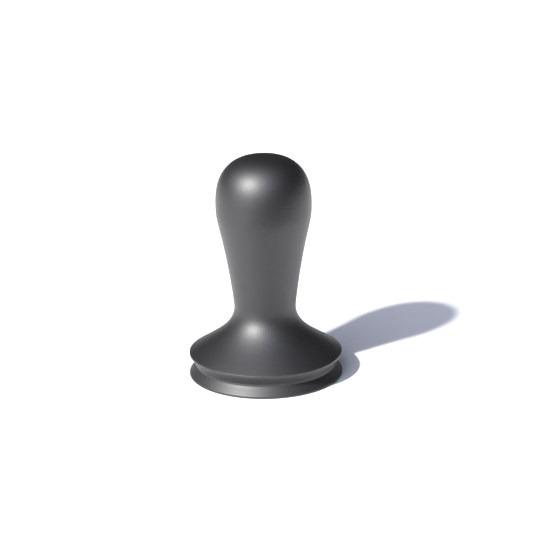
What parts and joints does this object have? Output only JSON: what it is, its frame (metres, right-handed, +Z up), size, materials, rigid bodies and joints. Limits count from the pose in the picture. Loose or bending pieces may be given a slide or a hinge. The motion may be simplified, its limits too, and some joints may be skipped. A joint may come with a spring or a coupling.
{
  "type": "espresso tamper",
  "caption": "Screw-together espresso tamper: a turned knob handle flaring to a skirt, on a flat steel base that unscrews on a central stud.",
  "frame": {"origin": "centre of the base's flat underside, on the axis of revolution", "axes": "+Z up along the handle's axis; X and Y are equal, as the tamper is round"},
  "size_m": [0.058, 0.058, 0.0846],
  "materials": {
    "coated_steel": "turned, with a thin black coating that shows the fine turning lines",
    "bare_steel": "bright machined",
    "insert_steel": "passivated, slightly warm",
    "seal_rubber": "matt moulded black",
    "anodised_aluminium": "fine bead blast, matt black anodised"
  },
  "bodies": {
    "base_body": {"base": "coated_steel", "joining_stud": "bare_steel"},
    "ring_carrier": {"seal_ring": "seal_rubber"},
    "handle_body": {"handle": "anodised_aluminium", "thread_insert": "insert_steel"}
  },
  "joints": [
    {"name": "handle_rise", "type": "slide", "parent": "base_body", "child": "ring_carrier", "axis": [0, 0, 1], "range_m": [0, 0.00905]},
    {"name": "handle_unscrew", "type": "hinge", "parent": "ring_carrier", "child": "handle_body", "pos_m": [0, 0, 0.0043], "axis": [0, 0, 1], "range_deg": [0, 2592]}
  ],
  "couplings": [
    {"joint": "handle_rise", "follows": "handle_unscrew", "m_per_rad": 0.00019894}
  ]
}
